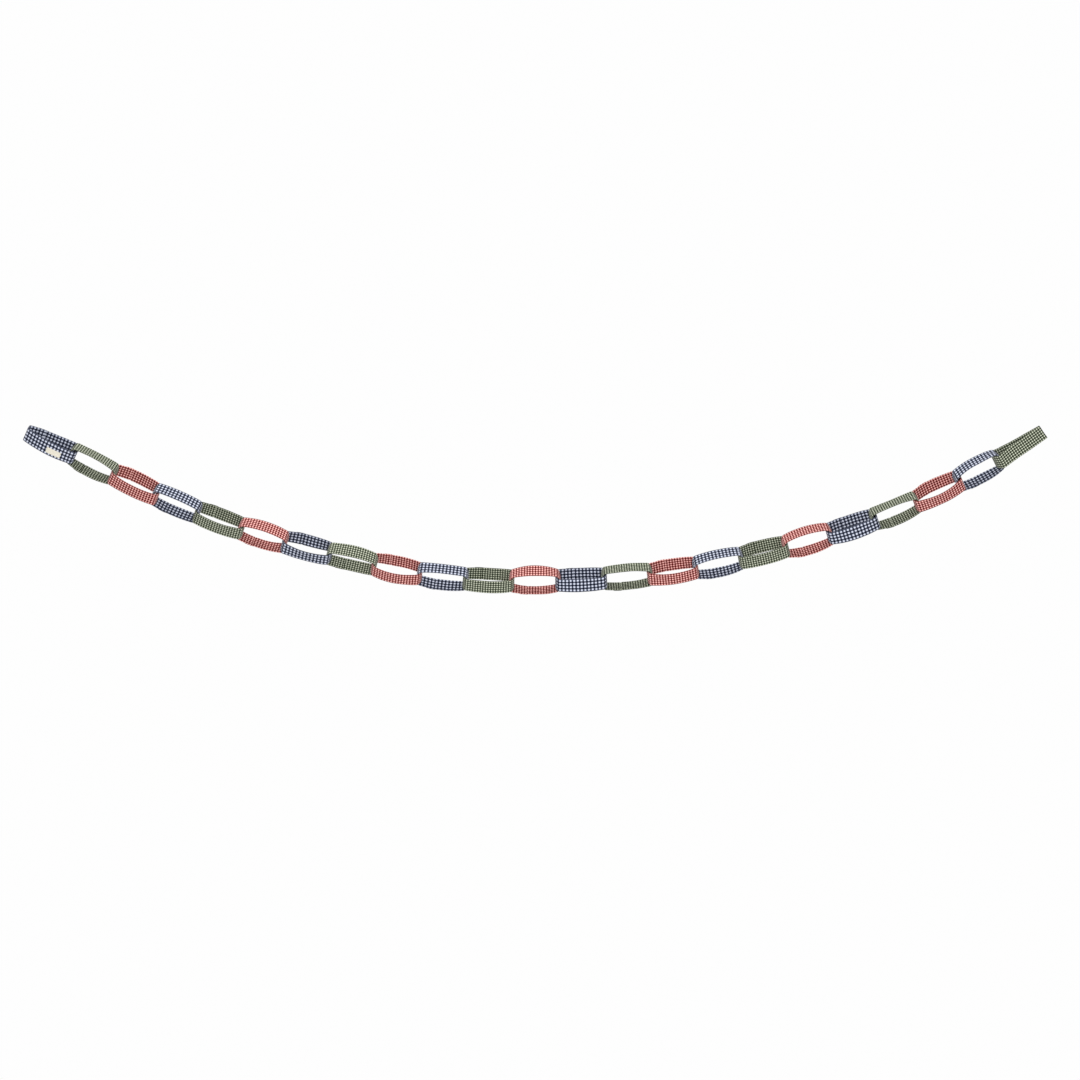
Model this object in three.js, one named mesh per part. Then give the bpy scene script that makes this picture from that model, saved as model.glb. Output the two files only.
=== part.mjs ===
// A paper-chain style garland: 23 closed loops of flat cloth strip, each one linked through the
// next, hanging between two fixings in a shallow swag. Millimetres, +X along the span from the
// left end to the right end, +Z up, -Y towards the viewer. The origin is the middle of the flat
// face inside the left end loop, where that loop bears on whatever it is hung from.
import * as THREE from 'three';

// The strip that every loop is sewn from.
const STRIP_WIDTH = 26;
const STRIP_THICKNESS = 1.5;

// The inside of a common loop: four corner bends joined by shallow arcs.
const CORNER_ALONG = 37.6;
const CORNER_ACROSS = 12;
const CORNER_RADIUS = 3.5;
const END_RADIUS = 28;
const ARC_STEPS = 6;
const CORNER_STEPS = 4;

// The curve the chain hangs in, and where its lowest point falls, counted in links.
const CATENARY_RADIUS = 1556;
const LOWEST_LINK = 12.2;
const LINK_CLEARANCE = 0.4;

// The two end loops pull away from that curve at their only joint, in degrees, and the bend is
// spread over a short length of the chain on each side of the joint.
const LEFT_END_BEND = -6;
const RIGHT_END_BEND = 4.5;
const BEND_REACH = 15;

// The left end loop is drawn in over its fixing: a blunt nose with a flat inside face.
const LEFT_NOSE_ALONG = 43.5;
const LEFT_NOSE_ACROSS = 4;
const LEFT_SHORT_HALF = 19.5;

// The right end loop is pulled to a sharp fold and has swung towards the viewer.
const RIGHT_FOLD_ALONG = 49;
const RIGHT_FOLD_ACROSS = 1;
const RIGHT_FOLD_RADIUS = 0.8;
const RIGHT_FOLD_SWING = 17;
const RIGHT_SIDE_RADIUS = 420;
const STRAIGHT = Infinity;

// The blank label sewn to the near face of the left end loop.
const LABEL_LENGTH = 27;
const LABEL_HEIGHT = 10.5;
const LABEL_THICKNESS = 0.4;
const LABEL_GAP = 0.3;
const LABEL_ALONG = 11;
const LABEL_DROP = 3.5;
const LABEL_STEPS = 6;

// Three gingham cloths, used in turn along the chain.
const CLOTHS = [
  { name: 'navy', color: 0x2b3350 },
  { name: 'green', color: 0x5a6350 },
  { name: 'red', color: 0xa8443f },
];
const CLOTH_ROUGHNESS = 0.95;
const LABEL_COLOR = 0xe9e2cf;

// How each loop lies: its turn about the chain and the flare of its upper edge, in degrees;
// half its short inside diameter; how far it dips below the chain's curve; and how far the near
// corner of its left and right end reaches past the far one, or the far one if it is negative.
const LINKS = [
  { turn: 27, flare: -4, half: LEFT_SHORT_HALF, dip: 4, lean: [0, 6] },
  { turn: -57, flare: -5, half: 18.6, dip: 3, lean: [0, 0] },
  { turn: 39, flare: 3, half: 19.4, dip: 1, lean: [0, 5] },
  { turn: -48, flare: -1, half: 18.4, dip: 1, lean: [0, 0] },
  { turn: 40, flare: 5, half: 18.7, dip: 2, lean: [0, 3] },
  { turn: -50, flare: 3, half: 20, dip: 0, lean: [0, 0] },
  { turn: 46, flare: 7, half: 18.6, dip: 0, lean: [0, 0] },
  { turn: -38, flare: 2, half: 19.5, dip: -2, lean: [0, 0] },
  { turn: 47, flare: 2, half: 20.4, dip: 3, lean: [0, 0] },
  { turn: -48, flare: -3, half: 18.5, dip: 4, lean: [0, 0] },
  { turn: 35, flare: 0, half: 19.5, dip: 3, lean: [0, 0] },
  { turn: -52, flare: 6, half: 21.4, dip: 0, lean: [0, 0] },
  { turn: 28, flare: -2, half: 20, dip: 0, lean: [0, 1] },
  { turn: -58, flare: 0, half: 18.2, dip: 0, lean: [0, 0] },
  { turn: 39, flare: 4, half: 19.6, dip: 1, lean: [1, 0] },
  { turn: -51, flare: -2, half: 20.1, dip: 0, lean: [0, 0] },
  { turn: 32, flare: 3, half: 20.5, dip: -1, lean: [0, 1] },
  { turn: -53, flare: -3, half: 21.4, dip: -1, lean: [0, 0] },
  { turn: 29, flare: -6, half: 21.4, dip: 1, lean: [2, 4] },
  { turn: -56, flare: -7, half: 18.1, dip: 3, lean: [0, 0] },
  { turn: 41, flare: 6, half: 19.9, dip: 1, lean: [1, 5] },
  { turn: -54, flare: -3, half: 19.9, dip: -2, lean: [0, 0] },
  { turn: 12, flare: 0, half: LEFT_SHORT_HALF, dip: -2, lean: [-6, 0] },
];
const LAST = LINKS.length - 1;
const QUARTER_TURN = 90;
const SIDEWAYS = new THREE.Vector3(0, 1, 0);

// Half the inside length of a loop at a distance across from its middle line.
function reachAt(across) {
  const centre = endArcCentre();
  return centre + Math.sqrt(END_RADIUS ** 2 - across ** 2);
}

// The end arc's centre along the loop, so that the arc meets the corner bends smoothly.
function endArcCentre() {
  return CORNER_ALONG - Math.sqrt((END_RADIUS - CORNER_RADIUS) ** 2 - CORNER_ACROSS ** 2);
}

// Two linked loops touch where the edges of one strip lie in the end of the other.
const CONTACT = reachAt(STRIP_WIDTH / 2);
const PITCH = 2 * CONTACT - LINK_CLEARANCE;

// The radius of a side arc that bulges to `half` between two equal corner bends.
function sideRadius(half) {
  const rise = half - CORNER_ACROSS;
  const slack = 2 * (rise - CORNER_RADIUS);
  return (CORNER_ALONG ** 2 + rise ** 2 - CORNER_RADIUS ** 2) / slack;
}

// The corners of a loop's inside, anticlockwise from the right end's near corner. Each names
// its bend radius and the radius of the arc that leads on to the next corner.
function commonCorners({ half, lean }) {
  const side = sideRadius(half);
  const bend = { r: CORNER_RADIUS };
  const [left, right] = lean.map((reach) => [Math.max(0, reach), Math.max(0, -reach)]);
  return [
    { x: CORNER_ALONG + right[0], y: -CORNER_ACROSS, ...bend, next: END_RADIUS },
    { x: CORNER_ALONG + right[1], y: CORNER_ACROSS, ...bend, next: side },
    { x: -CORNER_ALONG - left[1], y: CORNER_ACROSS, ...bend, next: END_RADIUS },
    { x: -CORNER_ALONG - left[0], y: -CORNER_ACROSS, ...bend, next: side },
  ];
}

function leftEndCorners(link) {
  const corners = commonCorners(link);
  corners[2] = { ...corners[2], x: -LEFT_NOSE_ALONG, y: LEFT_NOSE_ACROSS, next: STRAIGHT };
  corners[3] = { ...corners[3], x: -LEFT_NOSE_ALONG, y: -LEFT_NOSE_ACROSS };
  return corners;
}

function rightEndCorners(link) {
  const corners = commonCorners(link);
  const fold = { x: RIGHT_FOLD_ALONG, r: RIGHT_FOLD_RADIUS };
  corners[0] = { ...fold, y: -RIGHT_FOLD_SWING - RIGHT_FOLD_ACROSS, next: STRAIGHT };
  corners[1] = { ...fold, y: -RIGHT_FOLD_SWING + RIGHT_FOLD_ACROSS, next: RIGHT_SIDE_RADIUS };
  corners[3] = { ...corners[3], next: RIGHT_SIDE_RADIUS };
  return corners;
}

// The arc of radius `from.next` that is tangent to two corner bends, seen from inside.
function sideBetween(from, to) {
  const span = new THREE.Vector2(to.x - from.x, to.y - from.y);
  const length = span.length();
  const outward = Math.atan2(-span.x, span.y);
  if (from.next === STRAIGHT) {
    return { start: outward, end: outward, radius: 0, x: 0, y: 0, steps: 0 };
  }
  const a = from.next - from.r;
  const b = from.next - to.r;
  const foot = (length ** 2 + a ** 2 - b ** 2) / (2 * length);
  const depth = Math.sqrt(a ** 2 - foot ** 2);
  const x = from.x + (span.x * foot - span.y * depth) / length;
  const y = from.y + (span.y * foot + span.x * depth) / length;
  const start = Math.atan2(from.y - y, from.x - x);
  const end = Math.atan2(to.y - y, to.x - x);
  return { start, end, radius: from.next, x, y, steps: ARC_STEPS };
}

function arcPoints(arc, offset, lap) {
  const turn = THREE.MathUtils.euclideanModulo(arc.end - arc.start, 2 * Math.PI);
  const points = [];
  for (let i = 1; i < arc.steps; i += 1) {
    const angle = arc.start + (turn * i) / arc.steps;
    const doubled = lap && i === ARC_STEPS - 1 ? [1, 0] : lap && i === ARC_STEPS - 2 ? [0, 1] : [0];
    for (const layers of doubled) {
      const radius = arc.radius + offset + layers * STRIP_THICKNESS;
      points.push(new THREE.Vector2(arc.x + radius * Math.cos(angle), arc.y + radius * Math.sin(angle)));
    }
  }
  return points;
}

// A closed outline at `offset` outside the loop's inner face. With `lap`, the far side steps
// out by one more thickness where the strip's two ends overlap.
function outline(corners, offset, lap) {
  const sides = corners.map((corner, i) => sideBetween(corner, corners[(i + 1) % corners.length]));
  return corners.flatMap((corner, i) => {
    const before = sides[(i + corners.length - 1) % corners.length];
    const after = sides[i];
    const turn = THREE.MathUtils.euclideanModulo(after.start - before.end, 2 * Math.PI);
    const bend = [];
    for (let step = 0; step <= CORNER_STEPS; step += 1) {
      const angle = before.end + (turn * step) / CORNER_STEPS;
      const radius = corner.r + offset;
      bend.push(new THREE.Vector2(corner.x + radius * Math.cos(angle), corner.y + radius * Math.sin(angle)));
    }
    return bend.concat(arcPoints(after, offset, lap && i === 1));
  });
}

// A point of the plain curve, at a length along it from its lowest point, and its slope there.
function catenary(length) {
  const reach = Math.hypot(CATENARY_RADIUS, length);
  const x = CATENARY_RADIUS * Math.asinh(length / CATENARY_RADIUS);
  return { point: new THREE.Vector3(x, 0, reach - CATENARY_RADIUS), slope: Math.atan2(length, CATENARY_RADIUS) };
}

// How far the chain dips below the plain curve, eased from each loop to the next.
function dipAt(length) {
  const place = THREE.MathUtils.clamp(length / PITCH + LOWEST_LINK - 1, 0, LAST);
  const before = Math.min(Math.floor(place), LAST - 1);
  const ease = THREE.MathUtils.smoothstep(place - before, 0, 1);
  return THREE.MathUtils.lerp(LINKS[before].dip, LINKS[before + 1].dip, ease);
}

// The chain's own frame at a length along it from its lowest point.
function chainFrame(length) {
  const { point, slope } = catenary(length);
  const ends = [
    { joint: placeOf(0.5), side: -1, degrees: LEFT_END_BEND },
    { joint: placeOf(LAST - 0.5), side: 1, degrees: RIGHT_END_BEND },
  ];
  let angle = slope;
  for (const { joint, side, degrees } of ends) {
    const beyond = side * (length - joint);
    const share = THREE.MathUtils.smoothstep(beyond, -BEND_REACH, BEND_REACH);
    const bend = side * THREE.MathUtils.degToRad(degrees) * share;
    const pivot = catenary(joint).point;
    point.sub(pivot).applyAxisAngle(SIDEWAYS, -bend).add(pivot);
    angle += bend;
  }
  const along = new THREE.Vector3(Math.cos(angle), 0, Math.sin(angle));
  const up = new THREE.Vector3(-Math.sin(angle), 0, Math.cos(angle));
  point.addScaledVector(up, -dipAt(length));
  return { point, along, up };
}

// The frame of a strip turned about the chain: X along it, Y through the loop, Z up the strip.
function turnedFrame(length, degrees) {
  const { point, along, up } = chainFrame(length);
  const turn = THREE.MathUtils.degToRad(degrees);
  const through = SIDEWAYS.clone().multiplyScalar(Math.cos(turn)).addScaledVector(up, Math.sin(turn));
  const upright = new THREE.Vector3().crossVectors(along, through);
  return new THREE.Matrix4().makeBasis(along, through, upright).setPosition(point);
}

// Neighbours cross at a right angle, so each loop twists a little towards its two joints.
function jointTurn(index, neighbour) {
  if (neighbour < 0 || neighbour > LAST) {
    return LINKS[index].turn;
  }
  const square = Math.sign(LINKS[index].turn) * QUARTER_TURN;
  return (LINKS[index].turn + LINKS[neighbour].turn + square) / 2;
}

function placeOf(index) {
  return (index + 1 - LOWEST_LINK) * PITCH;
}

// Lays a flat-drawn loop along the hanging chain: twisted to meet its neighbours and flared.
function layAlongChain(geometry, index) {
  const { turn, flare, half } = LINKS[index];
  const position = geometry.getAttribute('position');
  const corner = new THREE.Vector3();
  for (let i = 0; i < position.count; i += 1) {
    corner.fromBufferAttribute(position, i);
    const x = corner.x;
    const towards = Math.min(1, Math.abs(x) / CORNER_ALONG) ** 2;
    const joint = jointTurn(index, x < 0 ? index - 1 : index + 1);
    const degrees = THREE.MathUtils.lerp(turn, joint, towards);
    const opening = Math.tan(THREE.MathUtils.degToRad(flare)) * (1 - towards);
    corner.y *= 1 + (corner.z * opening) / half;
    corner.x = 0;
    corner.applyMatrix4(turnedFrame(placeOf(index) + x, degrees));
    position.setXYZ(i, corner.x, corner.y, corner.z);
  }
}

// Keeps a mesh's shape in its own frame and lets the mesh's place carry the rest.
function placedMesh(geometry, material, index) {
  const frame = turnedFrame(placeOf(index), LINKS[index].turn);
  geometry.applyMatrix4(frame.clone().invert());
  geometry.computeVertexNormals();
  const mesh = new THREE.Mesh(geometry, material);
  mesh.applyMatrix4(frame);
  return mesh;
}

function cornersOf(index) {
  if (index === 0) {
    return leftEndCorners(LINKS[index]);
  }
  return index === LAST ? rightEndCorners(LINKS[index]) : commonCorners(LINKS[index]);
}

function makeLink(index, material) {
  const corners = cornersOf(index);
  const shape = new THREE.Shape(outline(corners, STRIP_THICKNESS, true));
  shape.holes.push(new THREE.Path(outline(corners, 0, false)));
  const geometry = new THREE.ExtrudeGeometry(shape, { depth: STRIP_WIDTH, bevelEnabled: false });
  geometry.translate(0, 0, -STRIP_WIDTH / 2);
  layAlongChain(geometry, index);
  const mesh = placedMesh(geometry, material, index);
  const cloth = CLOTHS[index % CLOTHS.length].name;
  mesh.name = `link_${String(index + 1).padStart(2, '0')}_${cloth}`;
  return mesh;
}

// The label follows the near side of the left end loop, a hair outside its face.
function makeLabel(material) {
  const corners = cornersOf(0);
  const side = sideBetween(corners[3], corners[0]);
  const geometry = new THREE.BoxGeometry(LABEL_LENGTH, LABEL_THICKNESS, LABEL_HEIGHT, LABEL_STEPS, 1, 1);
  geometry.translate(LABEL_ALONG, 0, -LABEL_DROP);
  const position = geometry.getAttribute('position');
  const face = side.radius + STRIP_THICKNESS + LABEL_GAP + LABEL_THICKNESS / 2;
  for (let i = 0; i < position.count; i += 1) {
    const radius = face - position.getY(i);
    position.setY(i, side.y - Math.sqrt(radius ** 2 - (position.getX(i) - side.x) ** 2));
  }
  layAlongChain(geometry, 0);
  const mesh = placedMesh(geometry, material, 0);
  mesh.name = 'blank_label';
  return mesh;
}

function makeMaterial(color) {
  return new THREE.MeshStandardMaterial({ color, roughness: CLOTH_ROUGHNESS, metalness: 0 });
}

const garland = new THREE.Group();
const cloths = CLOTHS.map(({ color }) => makeMaterial(color));
LINKS.forEach((_, index) => garland.add(makeLink(index, cloths[index % CLOTHS.length])));
garland.add(makeLabel(makeMaterial(LABEL_COLOR)));

const noseFace = -LEFT_NOSE_ALONG - CORNER_RADIUS;
const hangingPoint = chainFrame(placeOf(0) + noseFace).point;
garland.position.copy(hangingPoint).negate();
garland.updateMatrixWorld(true);

export default garland;
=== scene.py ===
"""The looks of a hanging garland: 23 linked loops of gingham strip, sewn, with one blank label.

Everything is in metres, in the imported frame: +X along the span from the left end to the right
end, +Z up, -Y towards the viewer. The origin is where the left end loop bears on its fixing.
"""
import logging
import math
from dataclasses import dataclass
from enum import Enum

import bpy
import numpy as np
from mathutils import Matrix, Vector


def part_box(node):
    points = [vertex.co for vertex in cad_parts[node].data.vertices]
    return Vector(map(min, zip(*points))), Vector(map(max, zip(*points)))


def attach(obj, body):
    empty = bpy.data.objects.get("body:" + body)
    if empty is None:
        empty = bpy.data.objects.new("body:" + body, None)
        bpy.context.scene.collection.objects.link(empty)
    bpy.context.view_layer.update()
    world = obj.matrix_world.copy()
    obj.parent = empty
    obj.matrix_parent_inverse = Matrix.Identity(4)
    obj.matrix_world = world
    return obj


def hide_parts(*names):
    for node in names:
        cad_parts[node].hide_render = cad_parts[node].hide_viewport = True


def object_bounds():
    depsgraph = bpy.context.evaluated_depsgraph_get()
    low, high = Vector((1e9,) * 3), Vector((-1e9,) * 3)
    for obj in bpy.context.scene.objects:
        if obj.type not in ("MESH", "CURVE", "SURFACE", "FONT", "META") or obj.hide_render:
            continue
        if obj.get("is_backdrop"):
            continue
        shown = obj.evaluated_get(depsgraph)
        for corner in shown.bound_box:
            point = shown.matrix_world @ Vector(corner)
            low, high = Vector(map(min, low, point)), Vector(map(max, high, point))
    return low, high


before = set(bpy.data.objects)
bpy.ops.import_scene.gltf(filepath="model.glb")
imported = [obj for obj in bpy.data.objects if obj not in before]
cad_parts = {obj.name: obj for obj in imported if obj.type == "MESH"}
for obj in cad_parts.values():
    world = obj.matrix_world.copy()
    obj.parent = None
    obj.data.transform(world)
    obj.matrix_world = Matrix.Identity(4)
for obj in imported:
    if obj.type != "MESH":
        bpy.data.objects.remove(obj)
CAD_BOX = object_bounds()

LOG = logging.getLogger("garland")
MM = 0.001
BODY = "root"
CLOTH_UV = "cloth"
FOLD = "fold"
STITCH_NORMAL = "stitch_normal"
PALE_THREAD_SHARE = 0.3
Array = np.ndarray


def smoothstep(low: float, high: float, value: Array) -> Array:
    """Eases from 0 at `low` to 1 at `high`.

    Args:
        low: The value where the result is 0.
        high: The value where the result is 1.
        value: The values to ease.

    Returns:
        The eased values, each from 0 to 1.
    """
    share = np.clip((np.asarray(value, float) - low) / (high - low), 0.0, 1.0)
    return share * share * (3.0 - 2.0 * share)


def linear(colour: str) -> tuple[float, float, float, float]:
    """Turns a six-figure hex colour into linear red, green, blue and alpha."""
    shares = [int(colour[i:i + 2], 16) / 255 for i in (0, 2, 4)]
    steps = [s / 12.92 if s <= 0.04045 else ((s + 0.055) / 1.055) ** 2.4 for s in shares]
    return steps[0], steps[1], steps[2], 1.0


def added(name: str, data: bpy.types.ID) -> bpy.types.Object:
    """Makes an object of some data and puts it in the scene."""
    thing = bpy.data.objects.new(name, data)
    bpy.context.scene.collection.objects.link(thing)
    return thing


def line_object(name: str, points: list, edges: list, columns: dict[str, Array]) -> bpy.types.Object:
    """Makes lines of edges an object whose points carry numbers or vectors.

    Args:
        name: The object's name.
        points: The points.
        edges: The pairs of points that are joined.
        columns: What each point carries, by name.

    Returns:
        The new object.
    """
    mesh = bpy.data.meshes.new(name)
    mesh.from_pydata(points, edges, [])
    for key, column in columns.items():
        values = np.asarray(column, np.float32)
        kind, field = ("FLOAT", "value") if values.ndim == 1 else ("FLOAT_VECTOR", "vector")
        mesh.attributes.new(key, kind, "POINT").data.foreach_set(field, values.ravel())
    return added(name, mesh)


# ---------------------------------------------------------------- node trees


class Graph:
    """Adds nodes to one tree and joins their sockets."""

    def __init__(self, tree: bpy.types.NodeTree) -> None:
        """Keeps the tree that the nodes go into."""
        self.tree = tree

    def feed(self, socket: bpy.types.NodeSocket, value: object) -> None:
        """Links a socket to an input, or sets the input's own value.

        Args:
            socket: The input to feed.
            value: An output socket to link, or a plain value.
        """
        if isinstance(value, bpy.types.NodeSocket):
            self.tree.links.new(value, socket)
        else:
            socket.default_value = value

    def node(self, kind: str, inputs: dict | None = None, **settings: object) -> bpy.types.Node:
        """Adds one node.

        Args:
            kind: The node's type name.
            inputs: What each input socket, by name or number, is fed with.
            settings: The node's own properties.

        Returns:
            The new node.
        """
        node = self.tree.nodes.new(kind)
        for name, value in settings.items():
            setattr(node, name, value)
        for key, value in (inputs or {}).items():
            self.feed(node.inputs[key], value)
        return node

    def math(self, operation: str, *values: object) -> bpy.types.NodeSocket:
        """Adds a Math node and returns its result."""
        inputs = dict(enumerate(values))
        return self.node("ShaderNodeMath", inputs, operation=operation).outputs[0]

    def vector(self, operation: str, *values: object) -> bpy.types.NodeSocket:
        """Adds a Vector Math node and returns its vector."""
        inputs = dict(enumerate(values))
        return self.node("ShaderNodeVectorMath", inputs, operation=operation).outputs[0]

    def scaled(self, vector: object, factor: object) -> bpy.types.NodeSocket:
        """Adds a Vector Math node that scales a vector by a number."""
        inputs = {0: vector, "Scale": factor}
        return self.node("ShaderNodeVectorMath", inputs, operation="SCALE").outputs[0]

    def ease(self, value: object, low: float, high: float) -> bpy.types.NodeSocket:
        """Adds a Map Range node that eases from 0 at `low` to 1 at `high`."""
        inputs = {"Value": value, "From Min": low, "From Max": high}
        kind = "ShaderNodeMapRange"
        return self.node(kind, inputs, interpolation_type="SMOOTHSTEP").outputs["Result"]

    def blend(self, share: object, first: object, second: object) -> bpy.types.NodeSocket:
        """Adds a Mix node between two colours and returns the mixed colour."""
        inputs = {0: share, 6: first, 7: second}
        return self.node("ShaderNodeMix", inputs, data_type="RGBA").outputs[2]


class SocketKind(Enum):
    """The kinds of socket that the node groups take and give."""

    FLOAT = "NodeSocketFloat"
    INT = "NodeSocketInt"
    VECTOR = "NodeSocketVector"
    COLOR = "NodeSocketColor"
    OBJECT = "NodeSocketObject"
    MATERIAL = "NodeSocketMaterial"
    GEOMETRY = "NodeSocketGeometry"


class Group(Graph):
    """A node group with named inputs and outputs."""

    def __init__(
        self,
        name: str,
        tree_type: str,
        takes: dict[str, SocketKind],
        gives: dict[str, SocketKind],
    ) -> None:
        """Makes the group and its sockets.

        Args:
            name: The group's name.
            tree_type: "ShaderNodeTree" or "GeometryNodeTree".
            takes: The kind of each input, by name.
            gives: The kind of each output, by name.
        """
        super().__init__(bpy.data.node_groups.new(name, tree_type))
        for key, kind in takes.items():
            self.tree.interface.new_socket(name=key, in_out="INPUT", socket_type=kind.value)
        for key, kind in gives.items():
            self.tree.interface.new_socket(name=key, in_out="OUTPUT", socket_type=kind.value)
        self.takes = self.node("NodeGroupInput").outputs
        self.gives = self.node("NodeGroupOutput").inputs


# ---------------------------------------------------------------- shared shader effects


def weave_threads() -> bpy.types.NodeTree:
    """Builds the plain weave that every cloth shares.

    Returns:
        A group that takes a surface vector and a thread pitch in metres, and gives a mask of
        which thread lies on top and the height of the threads.
    """
    takes = {"Vector": SocketKind.VECTOR, "Pitch": SocketKind.FLOAT}
    gives = {"Over": SocketKind.FLOAT, "Height": SocketKind.FLOAT}
    group = Group("plain weave", "ShaderNodeTree", takes, gives)
    turns = group.math("DIVIDE", math.pi, group.takes["Pitch"])
    parts = group.node("ShaderNodeSeparateXYZ", {0: group.takes["Vector"]}).outputs
    waves = [group.math("SINE", group.math("MULTIPLY", parts[i], turns)) for i in (0, 1)]
    crossing = group.math("MULTIPLY", *waves)
    group.feed(group.gives["Over"], group.ease(crossing, -0.25, 0.25))
    group.feed(group.gives["Height"], group.math("ABSOLUTE", crossing))
    return group.tree


def gingham_check() -> bpy.types.NodeTree:
    """Returns:
        A group that takes a surface vector, the mask of the weave, the check's repeat in metres
        and three tones, and gives the check's colour.
    """
    takes = {
        "Vector": SocketKind.VECTOR,
        "Over": SocketKind.FLOAT,
        "Repeat": SocketKind.FLOAT,
        "Thread Contrast": SocketKind.FLOAT,
        "Dark": SocketKind.COLOR,
        "Middle": SocketKind.COLOR,
        "Light": SocketKind.COLOR,
    }
    group = Group("gingham check", "ShaderNodeTree", takes, {"Color": SocketKind.COLOR})
    vector = group.takes["Vector"]
    wander = group.node("ShaderNodeTexNoise", {"Vector": vector, "Scale": 90.0, "Detail": 1.0})
    shift = group.scaled(group.vector("SUBTRACT", wander.outputs["Color"], (0.5, 0.5, 0.5)), 0.0009)
    parts = group.node("ShaderNodeSeparateXYZ", {0: group.vector("ADD", vector, shift)}).outputs
    stripes = []
    for axis in (0, 1):
        place = group.math("FRACT", group.math("DIVIDE", parts[axis], group.takes["Repeat"]))
        ramp = group.math("MULTIPLY", group.math("ABSOLUTE", group.math("SUBTRACT", place, 0.5)), 2.0)
        stripes.append(group.ease(ramp, 0.46, 0.54))
    even = group.math("MULTIPLY", group.math("ADD", *stripes), 0.5)
    over = group.takes["Over"]
    under = group.math("SUBTRACT", 1.0, over)
    first = group.math("MULTIPLY", stripes[0], over)
    top = group.math("ADD", first, group.math("MULTIPLY", stripes[1], under))
    lean = group.math("MULTIPLY", group.math("SUBTRACT", top, even), group.takes["Thread Contrast"])
    paler = group.math("MULTIPLY", group.math("MAXIMUM", lean, 0.0), PALE_THREAD_SHARE)
    lean = group.math("ADD", group.math("MINIMUM", lean, 0.0), paler)
    tone = group.math("MULTIPLY", group.math("ADD", even, lean), 2.0)
    lower = group.node("ShaderNodeClamp", {"Value": tone}).outputs[0]
    upper = group.node("ShaderNodeClamp", {"Value": group.math("SUBTRACT", tone, 1.0)}).outputs[0]
    shade = group.blend(lower, group.takes["Dark"], group.takes["Middle"])
    group.feed(group.gives["Color"], group.blend(upper, shade, group.takes["Light"]))
    return group.tree


def cloth_wear() -> bpy.types.NodeTree:
    """Builds the yarn streaks, uneven dye and rubbed folds that every cloth shares.

    Returns:
        A group that takes a colour, a surface vector, the fold mask, the strength of streaks
        and rubbing and a rubbed colour, and gives the worn colour and its roughness.
    """
    takes = {
        "Color": SocketKind.COLOR,
        "Vector": SocketKind.VECTOR,
        "Fold": SocketKind.FLOAT,
        "Streaks": SocketKind.FLOAT,
        "Rubbing": SocketKind.FLOAT,
        "Rubbed Color": SocketKind.COLOR,
    }
    gives = {"Color": SocketKind.COLOR, "Roughness": SocketKind.FLOAT}
    group = Group("cloth wear", "ShaderNodeTree", takes, gives)
    vector = group.takes["Vector"]
    fields = []
    for stretch in ((30.0, 2200.0, 1.0), (2200.0, 30.0, 1.0), (70.0, 70.0, 1.0)):
        place = group.vector("MULTIPLY", vector, stretch)
        noise = group.node("ShaderNodeTexNoise", {"Vector": place, "Scale": 1.0, "Detail": 2.0})
        fields.append(group.math("SUBTRACT", noise.outputs[0], 0.5))
    total = group.math("ADD", group.math("ADD", fields[0], fields[1]), fields[2])
    gain = group.math("ADD", 1.0, group.math("MULTIPLY", total, group.takes["Streaks"]))
    dyed = group.node("ShaderNodeHueSaturation", {"Color": group.takes["Color"], "Value": gain})
    patches = group.ease(group.math("ADD", fields[2], 0.5), 0.3, 0.6)
    rubbed = group.math("MULTIPLY", group.takes["Fold"], group.takes["Rubbing"])
    share = group.math("MULTIPLY", rubbed, group.math("ADD", 0.6, group.math("MULTIPLY", patches, 0.4)))
    worn = group.blend(share, dyed.outputs[0], group.takes["Rubbed Color"])
    group.feed(group.gives["Color"], worn)
    rough = group.math("SUBTRACT", 0.92, group.math("MULTIPLY", share, 0.12))
    group.feed(group.gives["Roughness"], group.math("ADD", rough, group.math("MULTIPLY", total, 0.08)))
    return group.tree


def spun_thread() -> bpy.types.NodeTree:
    """Builds the fine fibre that every sewing thread shares.

    Returns:
        A group that takes a colour and an object vector, and gives the fibre's colour,
        roughness and height.
    """
    takes = {"Color": SocketKind.COLOR, "Vector": SocketKind.VECTOR}
    gives = {"Color": SocketKind.COLOR, "Roughness": SocketKind.FLOAT, "Height": SocketKind.FLOAT}
    group = Group("spun thread", "ShaderNodeTree", takes, gives)
    vector = group.takes["Vector"]
    fibre = group.node("ShaderNodeTexNoise", {"Vector": vector, "Scale": 5200.0, "Detail": 2.0})
    drift = group.node("ShaderNodeTexNoise", {"Vector": vector, "Scale": 160.0, "Detail": 1.0})
    spread = group.math("SUBTRACT", group.math("ADD", fibre.outputs[0], drift.outputs[0]), 1.0)
    gain = group.math("ADD", 1.0, group.math("MULTIPLY", spread, 0.5))
    tone = group.node("ShaderNodeHueSaturation", {"Color": group.takes["Color"], "Value": gain})
    group.feed(group.gives["Color"], tone.outputs[0])
    group.feed(group.gives["Roughness"], group.math("ADD", 0.68, group.math("MULTIPLY", spread, 0.2)))
    group.feed(group.gives["Height"], fibre.outputs[0])
    return group.tree


class Effects:
    """The shader groups, each built once for all the materials."""

    def __init__(self) -> None:
        """Builds the groups."""
        self.weave = weave_threads()
        self.check = gingham_check()
        self.wear = cloth_wear()
        self.thread = spun_thread()


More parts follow.
